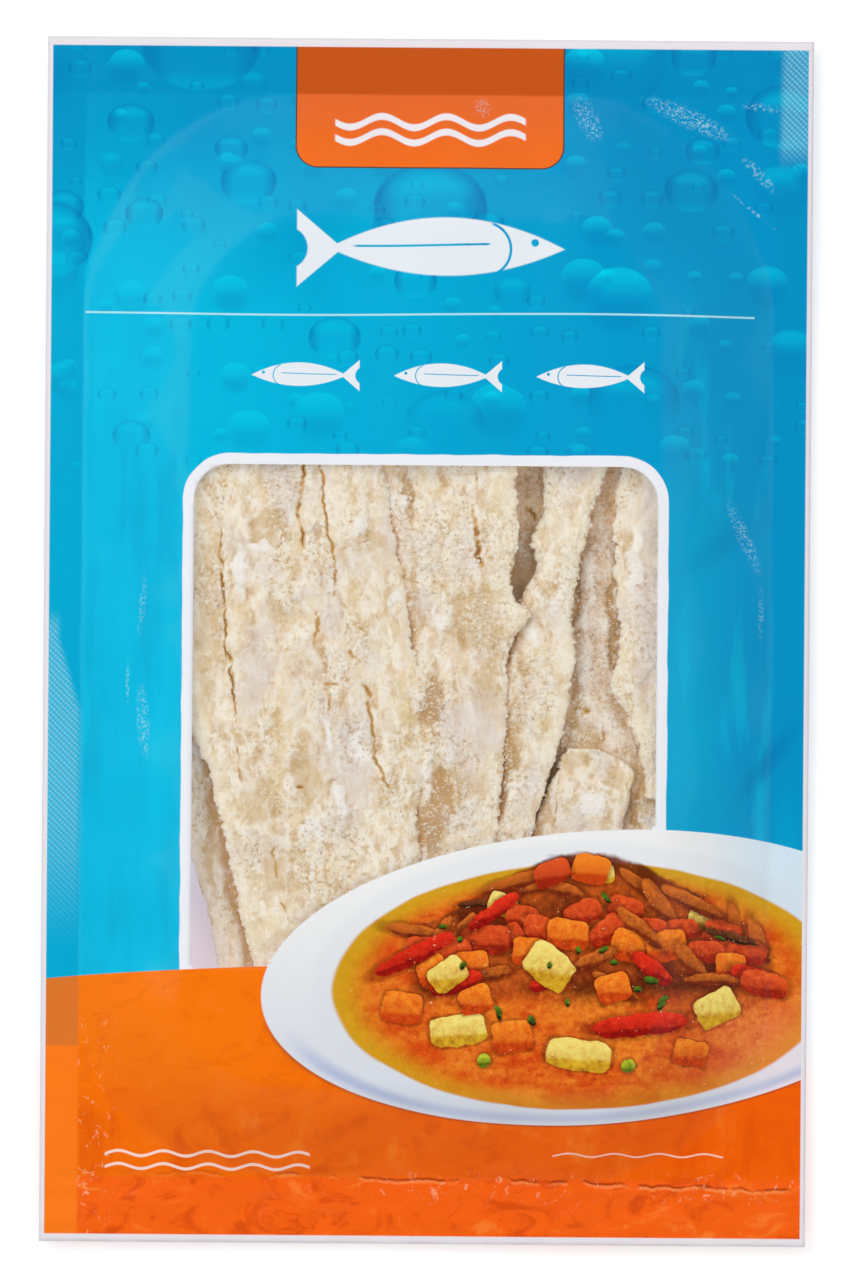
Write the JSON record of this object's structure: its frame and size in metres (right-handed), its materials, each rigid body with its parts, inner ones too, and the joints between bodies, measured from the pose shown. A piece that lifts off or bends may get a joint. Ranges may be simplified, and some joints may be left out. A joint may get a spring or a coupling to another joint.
{
  "type": "sealed pouch of salted fish fillets",
  "caption": "Flat sealed pouch lying on its back, with printed film, a clear window on its front and long salt-crusted fish fillets lying side by side behind it.",
  "frame": {"origin": "middle of the pouch's outline, on the surface it lies on", "axes": "+X to the right of the printed front, +Y to the top of the front, +Z out of the front"},
  "size_m": [0.178, 0.28, 0.0184],
  "materials": {
    "film": "printed film, glossy, blue with an orange band",
    "fish": "dry salted fish, matte cream with white salt",
    "fish_shaded": "dry salted fish, matte, darker where it lies below"
  },
  "bodies": {
    "root": {"pouch": "film", "fillet_large": "fish", "fillet_middle": "fish", "fillet_narrow": "fish", "fillet_edge": "fish", "piece_low": "fish", "piece_corner": "fish", "fillet_under": "fish_shaded", "fillet_back": "fish_shaded", "fillet_deep": "fish_shaded"}
  },
  "joints": []
}
